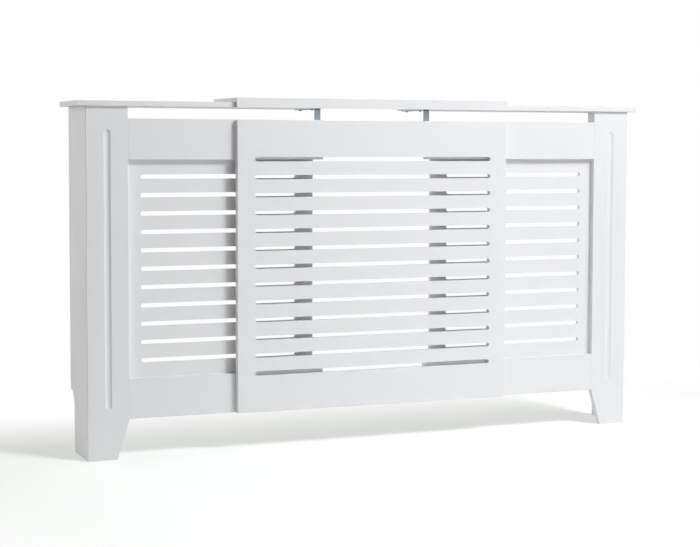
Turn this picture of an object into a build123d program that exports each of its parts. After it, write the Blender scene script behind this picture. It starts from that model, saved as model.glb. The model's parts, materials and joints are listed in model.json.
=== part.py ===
from build123d import *
import os

os.makedirs("parts", exist_ok=True)

# Radiator cover cabinet of adjustable width: two half covers that slide behind a centre
# panel and under a loose cap. Seen from the front, X runs to the right, Y to the back
# and Z up. The origin is on the floor, in the middle of the width and of the depth.
# All sizes are in millimetres.

# ---- the whole cover, at the width shown
posts_width = 1408  # over the outer faces of the two posts
section_length = 570  # from a post's outer face to the inner ends of its rails
depth = 178  # of the tops, front to back
top_height = 815  # floor to the upper face of the side tops
front_overhang = 8  # of the tops, in front of the posts
end_overhang = 20.5  # of the tops, past the posts
centre_shift = -3  # the centre panel and cap stand a little left of the middle

# ---- boards
board = 15  # frames, end panels and centre panel
top_t = 12
cap_t = 10
lip_t = 12
grille_t = 9
keeper_t = 12
arris = 0.6  # eased front edges of the painted boards
post_arris = 1.2  # rounder outer front edge of a post

# ---- running gaps between pieces that slide past each other
slide_gap = 0.3  # cap and lip over the side tops, washers behind the keepers
panel_gap = 0.5  # rails behind the centre panel, and keepers behind the rails

# ---- front frame of each half
post_w = 97
foot_w = 68.5  # a post's foot tapers to this at the floor
toe_gap = 92  # floor to the low rail
low_rail_h = 92
top_rail_h = 93
vent_gap = 27.5  # between the top rail and the tops
groove_w = 15.5  # stopped cove down the middle of a post
groove_radius = 10.5
groove_low = 117  # floor to the groove's lower end
groove_drop = 52  # underside of the tops to the groove's upper end

# ---- grilles and centre panel
slot_h = 10
grille_inset = 21  # inner end, from the inner ends of the rails
grille_lap_x = 11  # behind the post
grille_lap_z = 12  # behind the rails
grille_screw_in = 30  # from the grille's ends
grille_slots = 11
grille_slot_z = 38.75  # from a rail to the middle of the nearest slot
grille_slot_x = 43  # slot ends to the grille's ends
panel_w = 699
panel_low = 0.5  # below the low rail's lower edge
panel_short = 1.5  # below the top rail's upper edge
panel_slots = 13
panel_slot_z = 90.7  # from the panel's ends to the middle of the nearest slot
panel_slot_x = 43
cap_w = 703

# ---- cut-out in an end panel for the skirting board
skirting_d = 38.5
skirting_h = 145

# ---- keepers: slotted battens behind the rails that hold the halves to the centre panel
keeper_h = 30
keeper_w = 650
spacer_w = 50
slot_near = 46  # bolt's closest place to the middle of the centre panel
slot_far = 302  # bolt's farthest place
keeper_slot_w = 7
bolt_inset = 15  # clamp bolt, from the inner ends of the rails
keeper_screw_x = 14  # each side of the middle
keeper_screw_l = 35

# ---- bent steel brackets
strip_w = 15
strip_t = 2
bend_r = 4  # outside of the bend
bracket_inset = 1  # from the inner ends of the rails
bracket_reach = 131  # under the top, from the back of the rail
bracket_drop = 62  # down the back of the rail
bracket_screw_y = (35.5, 115)  # from the back of the rail
bracket_screw_z = (36, 52)  # below the top
wall_leg = 26
wall_w = 36
wall_drop = 63  # underside of the tops to the middle of a wall bracket
wall_hole_r = 2.5
wall_hole_in = 16  # from the bracket's corner, on both legs
wall_pitch = 20  # between the two holes of a leg

# ---- screws, dowels and cam fittings
hole_fit = 0.05  # a fitting's hole is larger than the fitting by this, all round
screw_r = 1.75
screw_head_r = 3.5
screw_head_h = 2.2
bracket_screw_l = 11
grille_screw_l = 15
csk_r = 4
keeper_screw_r = 2
dowel_r = 4
dowel_l = 30
dowel_in_face = 11  # depth in the face of a 15 mm board
dowel_in_top = 8
rail_dowel_z = 30  # above and below the middle of a rail
cam_r = 7.5
cam_d = 12
cam_setback = 24  # from the joint to the middle of the cam
top_cam_setback = 36  # the same at the tops: below the vent gap
cam_neck_r = 2
cam_head_r = 3.3
cam_head_l = 3
cam_shaft_r = 3.5
cam_bore_r = 4
cam_thread_r = 3
cam_thread_l = 11
cam_thread_top = 8
side_cam_low = 60
side_cam_drop = 63  # below the tops
side_dowel_z = 170  # above and below the middle cam
top_cam_y = 30  # from the front and the back edge of an end panel

# ---- clamp bolts
bolt_r = 3
bolt_fit = 0.1
insert_r = 5
insert_l = 12
washer_r = 9
washer_t = 1.5
hub_r = 6
hub_l = 8
wing_span = 30
wing_l = 13
wing_t = 2.4

# ---- places worked out from the sizes above
total_depth = depth + slide_gap + lip_t
y_wall = total_depth / 2
y_top_front = y_wall - depth
y_face = y_top_front + front_overhang
y_back = y_face + board
y_mid = y_face + board / 2
y_panel = y_face - panel_gap
y_lip = y_top_front - slide_gap
y_keeper = y_back + panel_gap
y_washer = y_keeper + keeper_t + slide_gap
x_end = posts_width / 2
x_panel_in = x_end - board
x_post = x_end - post_w
x_inner = x_end - section_length
x_bolt = x_inner + bolt_inset
z_top = top_height - top_t
z_low_rail = toe_gap
z_low_rail_top = toe_gap + low_rail_h
z_top_rail_top = z_top - vent_gap
z_top_rail = z_top_rail_top - top_rail_h
rail_l = x_post - x_inner
grille_w = x_post + grille_lap_x - x_inner - grille_inset
grille_h = z_top_rail - z_low_rail_top + 2 * grille_lap_z
grille_x = x_inner + grille_inset + grille_w / 2
grille_z = (z_low_rail_top + z_top_rail) / 2
grille_pitch = (z_top_rail - z_low_rail_top - 2 * grille_slot_z) / (grille_slots - 1)
panel_h = z_top_rail_top - panel_short - z_low_rail + panel_low
panel_z = z_low_rail - panel_low + panel_h / 2
panel_pitch = (panel_h - 2 * panel_slot_z) / (panel_slots - 1)
z_cap = top_height + slide_gap
groove_x = x_end - post_w / 2
groove_y = y_face - (groove_radius**2 - (groove_w / 2) ** 2) ** 0.5
groove_z = (groove_low + groove_w / 2, z_top - groove_drop - groove_w / 2)
spacer_t = y_keeper - y_panel
rail_levels = {"top": (z_top_rail, top_rail_h), "low": (z_low_rail, low_rail_h)}
keeper_levels = {
    "top": (z_top_rail + grille_lap_z + z_top - bracket_drop) / 2,
    "low": (z_low_rail + z_low_rail_top - grille_lap_z) / 2,
}
lap_levels = {"top": z_top_rail + grille_lap_z / 2, "low": z_low_rail_top - grille_lap_z / 2}
rail_middles = [z_rail + rail_h / 2 for z_rail, rail_h in rail_levels.values()]
rail_dowels = [z + dz for z in rail_middles for dz in (-rail_dowel_z, rail_dowel_z)]
side_cam_z = (side_cam_low, (side_cam_low + z_top - side_cam_drop) / 2, z_top - side_cam_drop)
side_dowels = (side_cam_z[1] - side_dowel_z, side_cam_z[1] + side_dowel_z)
top_cams_y = (y_back + top_cam_y, y_wall - top_cam_y)
top_dowel_y = (y_back + y_wall) / 2
wall_z = (z_top - wall_drop - wall_pitch / 2, z_top - wall_drop + wall_pitch / 2)


def facing(x, y, z, direction, x_dir=None):
    """A plane at a point, with its normal along a direction."""
    return Plane(origin=(x, y, z), x_dir=x_dir, z_dir=direction)


def save(shape, name):
    shape.part.label = name
    export_step(shape.part, f"parts/{name}.step")


# ---- patterns for the fasteners: the head stands above the XY plane and the shank below
def domed_screw(length):
    with BuildPart() as screw:
        with BuildSketch():
            Circle(screw_head_r)
        extrude(amount=screw_head_h)
        fillet(screw.faces().sort_by(Axis.Z)[-1].edges(), screw_head_h * 0.6)
        with BuildSketch():
            Circle(screw_r)
        extrude(amount=-length)
    return screw.part


def cam_bolt(thread_l, setback):
    """A cam bolt, with its thread below the XY plane and its shaft, neck and head above."""
    with BuildPart() as bolt:
        with BuildSketch():
            Circle(cam_shaft_r)
        extrude(amount=setback - cam_r)
        with BuildSketch(Plane.XY.offset(setback - cam_r)):
            Circle(cam_neck_r)
        extrude(amount=cam_r - cam_head_l)
        with BuildSketch(Plane.XY.offset(setback - cam_head_l)):
            Circle(cam_head_r)
        extrude(amount=cam_head_l)
        with BuildSketch():
            Circle(cam_thread_r)
        extrude(amount=-thread_l)
    return bolt.part


with BuildPart() as keeper_screw:
    with BuildSketch(Plane.XZ):
        with BuildLine():
            Polyline(
                (0, 0),
                (csk_r, 0),
                (keeper_screw_r, keeper_screw_r - csk_r),
                (keeper_screw_r, -keeper_screw_l),
                (0, -keeper_screw_l),
                close=True,
            )
        make_face()
    revolve(axis=Axis.Z)

with BuildPart() as dowel:
    with BuildSketch():
        Circle(dowel_r)
    extrude(amount=-dowel_l)

# A cam's bolt comes in along its own X axis, half a board below the face.
with BuildPart() as cam:
    with BuildSketch():
        Circle(cam_r)
    extrude(amount=-cam_d)
    with BuildSketch():
        Rectangle(cam_r, screw_head_h / 2)
        Rectangle(screw_head_h / 2, cam_r)
    extrude(amount=-screw_head_h, mode=Mode.SUBTRACT)
    with Locations(facing(cam_r, 0, -board / 2, (1, 0, 0))):
        Hole(cam_bore_r, depth=cam_r + cam_head_l)

with BuildPart() as insert:
    with BuildSketch():
        Circle(insert_r)
        Circle(bolt_r + bolt_fit, mode=Mode.SUBTRACT)
    extrude(amount=-insert_l)

with BuildPart() as washer:
    with BuildSketch():
        Circle(washer_r)
        Circle(bolt_r + bolt_fit, mode=Mode.SUBTRACT)
    extrude(amount=washer_t)

# The wing bolt stands on its washer: a round hub with two ears, over its shank.
with BuildPart() as wing_bolt:
    with BuildSketch():
        Circle(hub_r)
    extrude(amount=hub_l, taper=8)
    with BuildSketch(Plane.XZ.offset(-wing_t / 2)):
        with BuildLine():
            Polyline((0, hub_l / 4), (hub_r, hub_l / 4), (wing_span / 2, hub_l), (wing_span / 2, wing_l))
            Line((wing_span / 2, wing_l), (hub_r, wing_l))
            Line((hub_r, wing_l), (hub_r / 2, hub_l * 0.8))
            Line((hub_r / 2, hub_l * 0.8), (0, hub_l * 0.8))
            Line((0, hub_l * 0.8), (0, hub_l / 4))
        make_face()
        mirror(about=Plane.YZ)
    extrude(amount=wing_t)
    with BuildSketch():
        Circle(bolt_r)
    extrude(amount=-(washer_t + y_washer - y_back + insert_l))

# ---- centre section: the slotted panel in front of the rails
with BuildPart() as centre_panel:
    with BuildSketch(Plane.XZ.offset(-y_panel)):
        with Locations((centre_shift, panel_z)):
            Rectangle(panel_w, panel_h)
            with GridLocations(0, panel_pitch, 1, panel_slots):
                SlotOverall(panel_w - 2 * panel_slot_x, slot_h, mode=Mode.SUBTRACT)
    extrude(amount=board)
    chamfer(centre_panel.faces().sort_by(Axis.Y)[0].outer_wire().edges(), arris)
    for level in keeper_levels.values():
        for side in (-1, 1):
            with Locations(facing(centre_shift + side * keeper_screw_x, y_panel, level, (0, 1, 0))):
                Hole(keeper_screw_r + hole_fit, depth=keeper_screw_l - keeper_t - spacer_t)
save(centre_panel, "centre_panel")

# A keeper is held to the panel by its spacer, which fills the gap between the rails.
for name, level in keeper_levels.items():
    with BuildPart() as keeper:
        with BuildSketch(Plane.XZ.offset(-y_keeper)):
            with Locations((centre_shift, level)):
                Rectangle(keeper_w, keeper_h)
                with GridLocations(slot_near + slot_far, 0, 2, 1):
                    SlotCenterToCenter(slot_far - slot_near, keeper_slot_w, mode=Mode.SUBTRACT)
        extrude(amount=-keeper_t)
        for side in (-1, 1):
            place = facing(centre_shift + side * keeper_screw_x, y_keeper + keeper_t, level, (0, 1, 0))
            with Locations(place):
                CounterSinkHole(keeper_screw_r + hole_fit, csk_r + hole_fit, keeper_t, 90)
    save(keeper, f"{name}_keeper")

    with BuildPart() as spacer:
        with BuildSketch(Plane.XZ.offset(-y_keeper)):
            with Locations((centre_shift, level)):
                Rectangle(spacer_w, keeper_h)
                with GridLocations(2 * keeper_screw_x, 0, 2, 1):
                    Circle(keeper_screw_r + hole_fit, mode=Mode.SUBTRACT)
        extrude(amount=spacer_t)
    save(spacer, f"{name}_spacer")

with BuildPart() as keeper_screws:
    for level in keeper_levels.values():
        for side in (-1, 1):
            place = facing(centre_shift + side * keeper_screw_x, y_keeper + keeper_t, level, (0, 1, 0))
            with Locations(place):
                add(keeper_screw.part)
save(keeper_screws, "keeper_screws")

# ---- cap: a loose board that bridges the side tops, with a lip over their front edges
with BuildPart() as cap_board:
    with BuildSketch(Plane.XY.offset(z_cap)):
        with Locations((centre_shift, y_lip - lip_t + depth / 2)):
            Rectangle(cap_w, depth)
    extrude(amount=cap_t)
    chamfer(cap_board.faces().sort_by(Axis.Z)[-1].edges(), arris)
save(cap_board, "cap_board")

with BuildPart() as cap_lip:
    with BuildSketch(Plane.XY.offset(z_top)):
        with Locations((centre_shift, y_lip - lip_t / 2)):
            Rectangle(cap_w, lip_t)
    extrude(amount=z_cap - z_top)
save(cap_lip, "cap_lip")

# ---- the two halves, mirror images of each other
for side, s in (("left", -1), ("right", 1)):
    side_x = s * (x_end - board / 2)
    strip_x = s * (x_inner + bracket_inset + strip_w / 2)

    # Post: tapered foot, stopped cove, rounder outer front edge.
    with BuildPart() as post:
        with BuildSketch(Plane.XZ.offset(-y_back)):
            with BuildLine():
                Polyline(
                    (s * x_end, 0),
                    (s * x_end, z_top),
                    (s * x_post, z_top),
                    (s * x_post, toe_gap),
                    (s * (x_end - foot_w), 0),
                    close=True,
                )
            make_face()
        extrude(amount=board)
        front_edges = post.faces().sort_by(Axis.Y)[0].edges().filter_by(Axis.Z).sort_by(Axis.X)
        inner_edge, outer_edge = front_edges[::s]
        chamfer(inner_edge, arris)
        fillet(outer_edge, post_arris)
        with BuildSketch(Plane.XY.offset(groove_z[0])):
            with Locations((s * groove_x, groove_y)):
                Circle(groove_radius)
        extrude(amount=groove_z[1] - groove_z[0], mode=Mode.SUBTRACT)
        with Locations(*[(s * groove_x, groove_y, z) for z in groove_z]):
            Sphere(groove_radius, mode=Mode.SUBTRACT)
        with Locations(*[facing(s * x_post, y_mid, z, (-s, 0, 0)) for z in rail_middles]):
            Hole(cam_thread_r + hole_fit, depth=cam_thread_l)
        with Locations(*[facing(s * x_post, y_mid, z, (-s, 0, 0)) for z in rail_dowels]):
            Hole(dowel_r + hole_fit, depth=dowel_l / 2)
        with Locations(*[facing(side_x, y_back, z, (0, 1, 0)) for z in side_cam_z]):
            Hole(cam_thread_r + hole_fit, depth=cam_thread_l)
        with Locations(*[facing(side_x, y_back, z, (0, 1, 0)) for z in side_dowels]):
            Hole(dowel_r + hole_fit, depth=dowel_in_face)
    save(post, f"{side}_post")

    # Rails: butt against the post, and carry the insert of the clamp bolt.
    for name, (z_rail, rail_h) in rail_levels.items():
        with BuildPart() as rail:
            with BuildSketch(Plane.XZ.offset(-y_back)):
                with Locations((s * (x_inner + rail_l / 2), z_rail + rail_h / 2)):
                    Rectangle(rail_l, rail_h)
            extrude(amount=board)
            chamfer(rail.faces().sort_by(Axis.Y)[0].edges(), arris)
            with Locations(facing(s * x_post, y_mid, z_rail + rail_h / 2, (s, 0, 0))):
                Hole(cam_bore_r, depth=cam_setback)
            for dz in (-rail_dowel_z, rail_dowel_z):
                with Locations(facing(s * x_post, y_mid, z_rail + rail_h / 2 + dz, (s, 0, 0))):
                    Hole(dowel_r + hole_fit, depth=dowel_l / 2)
            with Locations(facing(s * (x_post - cam_setback), y_back, z_rail + rail_h / 2, (0, 1, 0))):
                Hole(cam_r + hole_fit, depth=cam_d)
            with Locations(facing(s * x_bolt, y_back, keeper_levels[name], (0, 1, 0))):
                Hole(insert_r + hole_fit, depth=insert_l)
            with Locations((s * grille_x, y_back, lap_levels[name])):
                with GridLocations(grille_w - 2 * grille_screw_in, 0, 2, 1):
                    with Locations(Rotation(-90, 0, 0)):
                        Hole(screw_r + hole_fit, depth=grille_screw_l - grille_t)
            if name == "top":
                with Locations(*[facing(strip_x, y_back, z_top - z, (0, 1, 0)) for z in bracket_screw_z]):
                    Hole(screw_r + hole_fit, depth=bracket_screw_l - strip_t)
        save(rail, f"{side}_{name}_rail")

    # Grille: slotted sheet behind the rails and the post.
    with BuildPart() as grille:
        with BuildSketch(Plane.XZ.offset(-y_back)):
            with Locations((s * grille_x, grille_z)):
                Rectangle(grille_w, grille_h)
                with GridLocations(0, grille_pitch, 1, grille_slots):
                    SlotOverall(grille_w - 2 * grille_slot_x, slot_h, mode=Mode.SUBTRACT)
                with GridLocations(grille_w - 2 * grille_screw_in, grille_h - grille_lap_z, 2, 2):
                    Circle(screw_r + hole_fit, mode=Mode.SUBTRACT)
        extrude(amount=-grille_t)
    save(grille, f"{side}_grille")

    with BuildPart() as grille_screws:
        with Locations((s * grille_x, y_back + grille_t, grille_z)):
            with Locations(Rotation(-90, 0, 0)):
                with GridLocations(grille_w - 2 * grille_screw_in, grille_h - grille_lap_z, 2, 2):
                    add(domed_screw(grille_screw_l))
    save(grille_screws, f"{side}_grille_screws")

    # End panel: stands behind the post, cut out at the back for the skirting board.
    with BuildPart() as end_panel:
        with BuildSketch(Plane.YZ.offset(s * x_end)):
            with BuildLine():
                foot = Line((y_back, 0), (y_wall - skirting_d, 0))
                rise = Line(foot @ 1, (y_wall - skirting_d, skirting_h - skirting_d))
                cove = RadiusArc(rise @ 1, (y_wall, skirting_h), skirting_d)
                Polyline(cove @ 1, (y_wall, z_top), (y_back, z_top), foot @ 0)
            make_face()
        extrude(amount=-s * board)
        with Locations(*[facing(side_x, y_back, z, (0, -1, 0)) for z in side_cam_z]):
            Hole(cam_bore_r, depth=cam_setback)
        with Locations(*[facing(side_x, y_back, z, (0, -1, 0)) for z in side_dowels]):
            Hole(dowel_r + hole_fit, depth=dowel_l - dowel_in_face)
        with Locations(*[facing(s * x_panel_in, y_back + cam_setback, z, (-s, 0, 0)) for z in side_cam_z]):
            Hole(cam_r + hole_fit, depth=cam_d)
        with Locations(*[facing(side_x, y, z_top, (0, 0, 1)) for y in top_cams_y]):
            Hole(cam_bore_r, depth=top_cam_setback)
        with Locations(*[facing(s * x_panel_in, y, z_top - top_cam_setback, (-s, 0, 0)) for y in top_cams_y]):
            Hole(cam_r + hole_fit, depth=cam_d)
        with Locations(facing(side_x, top_dowel_y, z_top, (0, 0, 1))):
            Hole(dowel_r + hole_fit, depth=dowel_l - dowel_in_top)
        with Locations(*[facing(s * x_panel_in, y_wall - wall_hole_in, z, (-s, 0, 0)) for z in wall_z]):
            Hole(screw_r + hole_fit, depth=bracket_screw_l - strip_t)
    save(end_panel, f"{side}_end_panel")

    # Side top: rests on the post and the end panel, and on its bracket at the inner end.
    with BuildPart() as top_board:
        with BuildSketch(Plane.XY.offset(z_top)):
            with Locations((s * (x_inner + x_end + end_overhang) / 2, y_wall - depth / 2)):
                Rectangle(x_end + end_overhang - x_inner, depth)
        extrude(amount=top_t)
        front = top_board.faces().sort_by(Axis.Y)[0]
        chamfer(front.edges().filter_by(Axis.X), arris)
        with Locations(*[facing(side_x, y, z_top, (0, 0, -1)) for y in top_cams_y]):
            Hole(cam_thread_r + hole_fit, depth=cam_thread_top)
        with Locations(facing(side_x, top_dowel_y, z_top, (0, 0, -1))):
            Hole(dowel_r + hole_fit, depth=dowel_in_top)
        with Locations(*[facing(strip_x, y_back + y, z_top, (0, 0, -1)) for y in bracket_screw_y]):
            Hole(screw_r + hole_fit, depth=bracket_screw_l - strip_t)
    save(top_board, f"{side}_top_board")

    # Top bracket: a steel strip bent once, from the back of the rail to under the top.
    with BuildPart() as top_bracket:
        with BuildSketch(Plane.YZ.offset(strip_x - strip_w / 2)):
            with BuildLine():
                down = Line((y_back, z_top - bracket_drop), (y_back, z_top - bend_r))
                bend = RadiusArc(down @ 1, (y_back + bend_r, z_top), bend_r)
                along = Line(bend @ 1, (y_back + bracket_reach, z_top))
                tip = Line(along @ 1, (y_back + bracket_reach, z_top - strip_t))
                back = Line(tip @ 1, (y_back + bend_r, z_top - strip_t))
                inner = RadiusArc(back @ 1, (y_back + strip_t, z_top - bend_r), strip_t - bend_r)
                leg = Line(inner @ 1, (y_back + strip_t, z_top - bracket_drop))
                Line(leg @ 1, down @ 0)
            make_face()
        extrude(amount=strip_w)
        with Locations(*[facing(strip_x, y_back + y, z_top, (0, 0, 1)) for y in bracket_screw_y]):
            Hole(screw_r + hole_fit, depth=strip_t)
        with Locations(*[facing(strip_x, y_back, z_top - z, (0, -1, 0)) for z in bracket_screw_z]):
            Hole(screw_r + hole_fit, depth=strip_t)
    save(top_bracket, f"{side}_top_bracket")

    with BuildPart() as bracket_screws:
        with Locations(*[facing(strip_x, y_back + y, z_top - strip_t, (0, 0, -1)) for y in bracket_screw_y]):
            add(domed_screw(bracket_screw_l))
        with Locations(*[facing(strip_x, y_back + strip_t, z_top - z, (0, 1, 0)) for z in bracket_screw_z]):
            add(domed_screw(bracket_screw_l))
    save(bracket_screws, f"{side}_bracket_screws")

    # Wall bracket: an angle on the end panel's inner face, flush with its back edge.
    with BuildPart() as wall_bracket:
        with BuildSketch(Plane.XY.offset(z_top - wall_drop - wall_w / 2)):
            with BuildLine():
                Polyline(
                    (s * x_panel_in, y_wall - wall_leg),
                    (s * x_panel_in, y_wall),
                    (s * (x_panel_in - wall_leg), y_wall),
                    (s * (x_panel_in - wall_leg), y_wall - strip_t),
                    (s * (x_panel_in - strip_t), y_wall - strip_t),
                    (s * (x_panel_in - strip_t), y_wall - wall_leg),
                    close=True,
                )
            make_face()
        extrude(amount=wall_w)
        with Locations(*[facing(s * x_panel_in, y_wall - wall_hole_in, z, (s, 0, 0)) for z in wall_z]):
            Hole(screw_r + hole_fit, depth=strip_t)
        with Locations(*[facing(s * (x_panel_in - wall_hole_in), y_wall, z, (0, 1, 0)) for z in wall_z]):
            Hole(wall_hole_r, depth=strip_t)
    save(wall_bracket, f"{side}_wall_bracket")

    with BuildPart() as wall_bracket_screws:
        head_x = s * (x_panel_in - strip_t)
        with Locations(*[facing(head_x, y_wall - wall_hole_in, z, (-s, 0, 0)) for z in wall_z]):
            add(domed_screw(bracket_screw_l))
    save(wall_bracket_screws, f"{side}_wall_bracket_screws")

    # Dowels and cam fittings of the front frame.
    with BuildPart() as frame_dowels:
        with Locations(*[facing(s * (x_post + dowel_l / 2), y_mid, z, (s, 0, 0)) for z in rail_dowels]):
            add(dowel.part)
    save(frame_dowels, f"{side}_frame_dowels")

    with BuildPart() as frame_cams:
        cam_x = s * (x_post - cam_setback)
        with Locations(*[facing(cam_x, y_back, z, (0, 1, 0), (s, 0, 0)) for z in rail_middles]):
            add(cam.part)
    save(frame_cams, f"{side}_frame_cams")

    with BuildPart() as frame_cam_bolts:
        with Locations(*[facing(s * x_post, y_mid, z, (-s, 0, 0)) for z in rail_middles]):
            add(cam_bolt(cam_thread_l, cam_setback))
    save(frame_cam_bolts, f"{side}_frame_cam_bolts")

    # Dowels and cam fittings of the end panel, into the post and into the top.
    with BuildPart() as side_dowel_set:
        with Locations(*[facing(side_x, y_back - dowel_in_face, z, (0, -1, 0)) for z in side_dowels]):
            add(dowel.part)
        with Locations(facing(side_x, top_dowel_y, z_top + dowel_in_top, (0, 0, 1))):
            add(dowel.part)
    save(side_dowel_set, f"{side}_side_dowels")

    with BuildPart() as side_cams:
        for z in side_cam_z:
            with Locations(facing(s * x_panel_in, y_back + cam_setback, z, (-s, 0, 0), (0, -1, 0))):
                add(cam.part)
        for y in top_cams_y:
            with Locations(facing(s * x_panel_in, y, z_top - top_cam_setback, (-s, 0, 0), (0, 0, 1))):
                add(cam.part)
    save(side_cams, f"{side}_side_cams")

    with BuildPart() as side_cam_bolts:
        with Locations(*[facing(side_x, y_back, z, (0, 1, 0)) for z in side_cam_z]):
            add(cam_bolt(cam_thread_l, cam_setback))
        with Locations(*[facing(side_x, y, z_top, (0, 0, -1)) for y in top_cams_y]):
            add(cam_bolt(cam_thread_top, top_cam_setback))
    save(side_cam_bolts, f"{side}_side_cam_bolts")

    # Clamp bolts: an insert in each rail, and a wing bolt through the keeper's slot.
    with BuildPart() as rail_inserts:
        with Locations(*[facing(s * x_bolt, y_back, z, (0, 1, 0)) for z in keeper_levels.values()]):
            add(insert.part)
    save(rail_inserts, f"{side}_rail_inserts")

    with BuildPart() as wing_washers:
        with Locations(*[facing(s * x_bolt, y_washer, z, (0, 1, 0)) for z in keeper_levels.values()]):
            add(washer.part)
    save(wing_washers, f"{side}_wing_washers")

    with BuildPart() as wing_bolts:
        y_hub = y_washer + washer_t
        with Locations(*[facing(s * x_bolt, y_hub, z, (0, 1, 0), (1, 0, 0)) for z in keeper_levels.values()]):
            add(wing_bolt.part)
    save(wing_bolts, f"{side}_wing_bolts")
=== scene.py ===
"""Radiator cover of adjustable width: finishes, studio light and camera around its CAD parts."""

import json
from math import cos, radians, sin

import bmesh
import bpy
from mathutils import Matrix, Vector

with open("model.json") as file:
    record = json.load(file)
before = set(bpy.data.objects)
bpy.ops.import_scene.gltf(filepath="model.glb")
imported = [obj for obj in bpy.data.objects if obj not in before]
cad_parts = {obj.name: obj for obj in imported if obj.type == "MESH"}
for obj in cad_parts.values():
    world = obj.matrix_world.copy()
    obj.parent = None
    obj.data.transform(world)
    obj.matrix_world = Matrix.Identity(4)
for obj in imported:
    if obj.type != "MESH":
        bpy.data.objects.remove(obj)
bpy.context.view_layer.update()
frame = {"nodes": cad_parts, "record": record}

MM = 0.001  # one millimetre, in the scene's metres

# ---- camera, as the photograph was taken, with its angles in degrees
CAMERA_PLACE = Vector((-1545.8, -3641.2, 720.5)) * MM
CAMERA_YAW = 22.558  # to the right of straight ahead
CAMERA_PITCH = 3.768  # down
CAMERA_ROLL = 0.170  # anticlockwise, as seen from behind the camera
LENS = 83.157  # for a sensor 36 mm wide
LENS_SHIFT = -0.0336  # the middle of the picture lies a little below the lens's axis
CAMERA_REACH = 100  # metres, well past the floor's far edge

# ---- light
LAMP_TARGET = Vector((0, 0, 400)) * MM
FRONT_COLOUR = "FCFDFF"  # the lamps in front, faintly cool
BACK_COLOUR = "FFFEFA"  # the lamp behind, faintly warm
ROOM_WHITE = "FFFFFF"
ROOM_FRONT = 0.0  # how strongly the room lights the object from the front
ROOM_BACK = 0.6  # and from behind

# ---- floor, with its distances in metres from the object's middle
FLOOR_SPAN = 40.0  # from edge to edge
FLOOR_WHITE = "F6F7F6"
FLOOR_DIM = "8E8F8E"  # what the floor further off throws back as light
FLOOR_DIM_FROM = (0.7, 2.0)  # between these, the one turns into the other
FLOOR_GLOW = "F9FFF6"  # the faint green of the photograph's shadow on the floor
FLOOR_LIFT = 0.27  # how much whiter than its own paint the floor looks to the camera
FLOOR_FADE = (0.9, 1.6)  # between these, the floor fades into the white room
FLOOR_FADE_BACK = (0.02, 0.65)  # the same, straight back

NOISE_SPAN = (0.3, 0.7)  # most values of a noise pattern lie between these


def linear(hex_colour):
    """An sRGB hex colour such as F0F0F0 as linear red, green, blue and alpha."""
    channels = [int(hex_colour[i : i + 2], 16) / 255 for i in (0, 2, 4)]
    return [c / 12.92 if c <= 0.04045 else ((c + 0.055) / 1.055) ** 2.4 for c in channels] + [1.0]


def add_node(tree, kind, settings=None, links=None):
    """Adds a node, with its settings by input or property, and its links as outputs by input."""
    node = tree.nodes.new(kind)
    for name, value in (settings or {}).items():
        if isinstance(name, int) or name in node.inputs:
            node.inputs[name].default_value = value
        else:
            setattr(node, name, value)
    for name, output in (links or {}).items():
        tree.links.new(output, node.inputs[name])
    return node


# ---- finishes
def new_finish(name, settings):
    """A material with one shader, and the values that are the same all over its surface."""
    material = bpy.data.materials.new(name)
    material.use_nodes = True
    shader = material.node_tree.nodes["Principled BSDF"]
    for socket, value in settings.items():
        shader.inputs[socket].default_value = value
    return material


def mottle(material, size_mm, detail=2.0, roughness=None, tones=None, depth_mm=0.0, strength=1.0):
    """Lets a noise pattern of a real size, which stays with the piece, vary its surface.

    It carries whichever of these are given: the roughness between two limits, the colour
    between a dark and a light tone, and a relief of some depth and strength.
    """
    tree = material.node_tree
    shader = tree.nodes["Principled BSDF"]
    place = add_node(tree, "ShaderNodeTexCoord").outputs["Object"]
    grain = {"Scale": 1 / (size_mm * MM), "Detail": detail}
    pattern = add_node(tree, "ShaderNodeTexNoise", grain, {"Vector": place}).outputs["Fac"]
    low, high = NOISE_SPAN
    if roughness:
        smooth, rough = roughness
        sheen = add_node(
            tree,
            "ShaderNodeMapRange",
            {"From Min": low, "From Max": high, "To Min": smooth, "To Max": rough},
            {"Value": pattern},
        )
        tree.links.new(sheen.outputs["Result"], shader.inputs["Roughness"])
    if tones:
        tint = add_node(tree, "ShaderNodeValToRGB", links={"Fac": pattern})
        for stop, position, tone in zip(tint.color_ramp.elements, (low, high), tones):
            stop.position = position
            stop.color = linear(tone)
        tree.links.new(tint.outputs["Color"], shader.inputs["Base Color"])
    if depth_mm:
        relief = add_node(
            tree,
            "ShaderNodeBump",
            {"Strength": strength, "Distance": depth_mm * MM},
            {"Height": pattern},
        )
        tree.links.new(relief.outputs["Normal"], shader.inputs["Normal"])


def satin_white_paint():
    """Sprayed satin paint on fibreboard: an even, faintly cool white with slight orange peel."""
    material = new_finish("satin_white_paint", {"Base Color": linear("EFEFF0")})
    # The sheen is a little uneven, in clouds about as wide as a hand.
    mottle(material, size_mm=90, roughness=(0.39, 0.46))
    # Real orange peel is 1 to 2 mm, drawn a little coarser.
    mottle(material, size_mm=2.5, depth_mm=0.05, strength=0.05)
    return material


def bright_zinc_plate():
    """Zinc-plated steel strip: a cool, dark grey, dull satin metal with faint clouds."""
    material = new_finish("bright_zinc_plate", {"Metallic": 1.0})
    mottle(material, size_mm=12, detail=3.0, roughness=(0.42, 0.56), tones=("838D93", "919BA0"))
    return material


def zinc_plated_screw():
    """Zinc-plated screws: a cool grey metal, smoother than the strip, with marks of rolling."""
    material = new_finish("zinc_plated_screw", {"Base Color": linear("8D939A"), "Metallic": 1.0})
    # Real marks are about 0.3 mm, drawn coarser.
    mottle(material, size_mm=0.8, roughness=(0.3, 0.42), depth_mm=0.03, strength=0.15)
    return material


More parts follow.
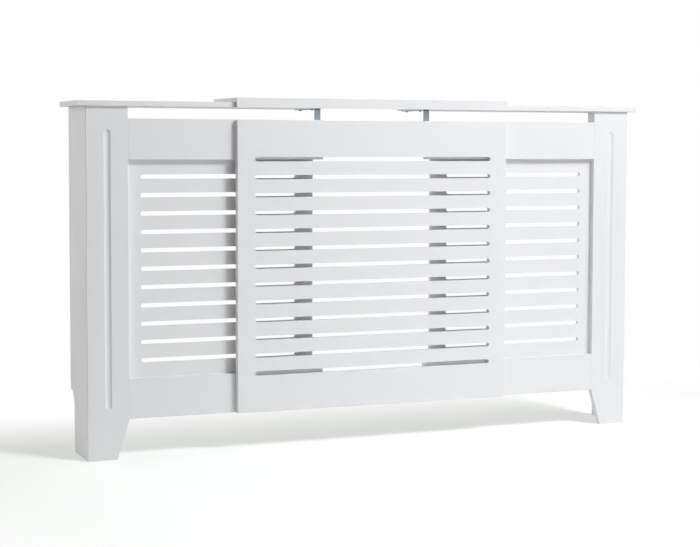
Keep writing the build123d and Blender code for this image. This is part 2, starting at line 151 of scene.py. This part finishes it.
def die_cast_zinc():
    """Die-cast zinc of the cam locks: a dull grey metal with a fine, pitted grain."""
    material = new_finish("die_cast_zinc", {"Metallic": 1.0, "Roughness": 0.5})
    mottle(material, size_mm=0.8, tones=("929496", "A2A4A6"), depth_mm=0.05, strength=0.2)
    return material


def turned_brass():
    """Turned brass inserts: a warm yellow metal, finely marked by the tool, slightly tarnished."""
    material = new_finish("turned_brass", {"Metallic": 1.0})
    mottle(material, size_mm=0.8, roughness=(0.28, 0.42))
    mottle(material, size_mm=5, tones=("BD9A50", "D0B068"))
    return material


def bare_beech():
    """Bare beech dowels: pale pinkish-brown, dull wood with small flecks."""
    material = new_finish("bare_beech", {"Roughness": 0.6})
    mottle(material, size_mm=1.5, detail=4.0, tones=("B98D60", "D6B48C"))
    return material


finishes = {
    "painted_board": satin_white_paint(),
    "zinc_steel": bright_zinc_plate(),
    "zinc_screw": zinc_plated_screw(),
    "cast_zinc": die_cast_zinc(),
    "brass_insert": turned_brass(),
    "beech_dowel": bare_beech(),
}
for subpart in frame["record"]["subparts"]:
    for surface in frame["nodes"][subpart["node"]].material_slots:
        surface.material = finishes[subpart["material_slot"]]


# ---- floor and room
def seen_directly(tree):
    """1 for what is seen, also in a reflection or through glass, and 0 for what only lights."""
    rays = add_node(tree, "ShaderNodeLightPath").outputs
    seen = rays["Is Camera Ray"]
    for way in ("Is Glossy Ray", "Is Transmission Ray"):
        either = add_node(tree, "ShaderNodeMath", {"operation": "MAXIMUM"}, {0: seen, 1: rays[way]})
        seen = either.outputs[0]
    return seen


def studio_floor():
    """A matt white floor that fades into the white room.

    It looks a little whiter than it is lit, so that it meets the room and keeps the shadow.
    """
    material = bpy.data.materials.new("studio_floor")
    material.use_nodes = True
    tree = material.node_tree
    tree.nodes.clear()
    seen = seen_directly(tree)
    place = add_node(tree, "ShaderNodeTexCoord").outputs["Object"]
    reach = add_node(tree, "ShaderNodeVectorMath", {"operation": "LENGTH"}, {0: place})
    axes = add_node(tree, "ShaderNodeSeparateXYZ", links={"Vector": place})
    distant, around, behind = (
        add_node(
            tree,
            "ShaderNodeMapRange",
            {"interpolation_type": "SMOOTHSTEP", "From Min": start, "From Max": end},
            {"Value": distance},
        ).outputs["Result"]
        for distance, (start, end) in (
            (reach.outputs["Value"], FLOOR_DIM_FROM),
            (reach.outputs["Value"], FLOOR_FADE),
            (axes.outputs["Y"], FLOOR_FADE_BACK),
        )
    )
    product = {"operation": "MULTIPLY"}

    # Its paint, dimmer further off for the light that only falls on other things.
    unseen = add_node(tree, "ShaderNodeMath", {"operation": "SUBTRACT", 0: 1.0}, {1: seen})
    dim = add_node(tree, "ShaderNodeMath", product, {0: distant, 1: unseen.outputs[0]})
    paint = add_node(tree, "ShaderNodeValToRGB", links={"Fac": dim.outputs[0]})
    for stop, tone in zip(paint.color_ramp.elements, (FLOOR_WHITE, FLOOR_DIM)):
        stop.color = linear(tone)
    matt = add_node(tree, "ShaderNodeBsdfDiffuse", links={"Color": paint.outputs["Color"]})

    # A faint glow of its own, which is only seen.
    lift = add_node(tree, "ShaderNodeMath", {"operation": "MULTIPLY", 1: FLOOR_LIFT}, {0: seen})
    glow = add_node(
        tree,
        "ShaderNodeEmission",
        {"Color": linear(FLOOR_GLOW)},
        {"Strength": lift.outputs[0]},
    )
    near = add_node(tree, "ShaderNodeAddShader", links={0: matt.outputs[0], 1: glow.outputs[0]})

    # The white of the room, which it fades into where it is seen.
    fade = add_node(tree, "ShaderNodeMath", {"operation": "MAXIMUM"}, {0: around, 1: behind})
    share = add_node(tree, "ShaderNodeMath", product, {0: seen, 1: fade.outputs[0]})
    room = add_node(tree, "ShaderNodeEmission", {"Color": linear(ROOM_WHITE), "Strength": 1.0})
    both = add_node(
        tree,
        "ShaderNodeMixShader",
        links={0: share.outputs[0], 1: near.outputs[0], 2: room.outputs[0]},
    )
    add_node(tree, "ShaderNodeOutputMaterial", links={"Surface": both.outputs[0]})
    return material


def floor_plane():
    """A wide square sheet, level with the feet."""
    sheet = bmesh.new()
    bmesh.ops.create_grid(sheet, x_segments=1, y_segments=1, size=FLOOR_SPAN / 2)
    mesh = bpy.data.meshes.new("floor")
    sheet.to_mesh(mesh)
    sheet.free()
    mesh.materials.append(studio_floor())
    plane = bpy.data.objects.new("floor", mesh)
    bpy.context.scene.collection.objects.link(plane)
    return plane


floor_plane()


def white_room():
    """A white room: full white where it is seen, and plain light on everything else."""
    world = bpy.data.worlds.new("white_room")
    world.use_nodes = True
    tree = world.node_tree
    way = add_node(tree, "ShaderNodeTexCoord").outputs["Generated"]
    axes = add_node(tree, "ShaderNodeSeparateXYZ", links={"Vector": way})
    light = add_node(
        tree,
        "ShaderNodeMapRange",
        {"From Min": -1.0, "From Max": 1.0, "To Min": ROOM_FRONT, "To Max": ROOM_BACK},
        {"Value": axes.outputs["Y"]},
    )
    level = add_node(
        tree,
        "ShaderNodeMix",
        {"B": 1.0},
        {"Factor": seen_directly(tree), "A": light.outputs["Result"]},
    )
    backdrop = tree.nodes["Background"]
    backdrop.inputs["Color"].default_value = linear(ROOM_WHITE)
    tree.links.new(level.outputs["Result"], backdrop.inputs["Strength"])
    bpy.context.scene.world = world


white_room()


# ---- lamps
def soft_box(name, side, height, distance, width, power, colour):
    """A square lamp that faces the object.

    It stands some degrees to the right of the front and above the target, some metres away.
    Its width is in metres, and its power in watts.
    """
    lamp = bpy.data.lights.new(name, "AREA")
    lamp.shape = "SQUARE"
    lamp.size = width
    lamp.energy = power
    lamp.color = linear(colour)[:3]
    holder = bpy.data.objects.new(name, lamp)
    turn, lift = radians(side), radians(height)
    towards = Vector((sin(turn) * cos(lift), -cos(turn) * cos(lift), sin(lift)))
    holder.location = LAMP_TARGET + towards * distance
    holder.rotation_euler = towards.to_track_quat("Z", "Y").to_euler()
    bpy.context.scene.collection.objects.link(holder)


# A small box high on the right gives the shadows their edge, a wider one beside it softens
# them, and a low one lights the shade under the tops. One behind lights the left end panel.
soft_box("key", side=26.5, height=39.5, distance=3.4, width=0.8, power=52, colour=FRONT_COLOUR)
soft_box("side_key", side=40, height=38, distance=3.4, width=1.6, power=30, colour=FRONT_COLOUR)
soft_box("low_front", side=12, height=4, distance=4.0, width=2.0, power=17, colour=FRONT_COLOUR)
soft_box("back_light", side=-133, height=8.5, distance=4.0, width=3.0, power=39, colour=BACK_COLOUR)

# ---- camera, which looks straight down before it is turned
lens = bpy.data.cameras.new("camera")
lens.lens = LENS
lens.shift_y = LENS_SHIFT
lens.clip_end = CAMERA_REACH
camera = bpy.data.objects.new("camera", lens)
turn = Matrix.Rotation(radians(-CAMERA_YAW), 4, "Z")
tilt = Matrix.Rotation(radians(90 - CAMERA_PITCH), 4, "X")
roll = Matrix.Rotation(radians(CAMERA_ROLL), 4, "Z")
camera.matrix_world = Matrix.Translation(CAMERA_PLACE) @ turn @ tilt @ roll
bpy.context.scene.collection.objects.link(camera)
bpy.context.scene.camera = camera

bpy.context.scene.view_settings.view_transform = "Standard"
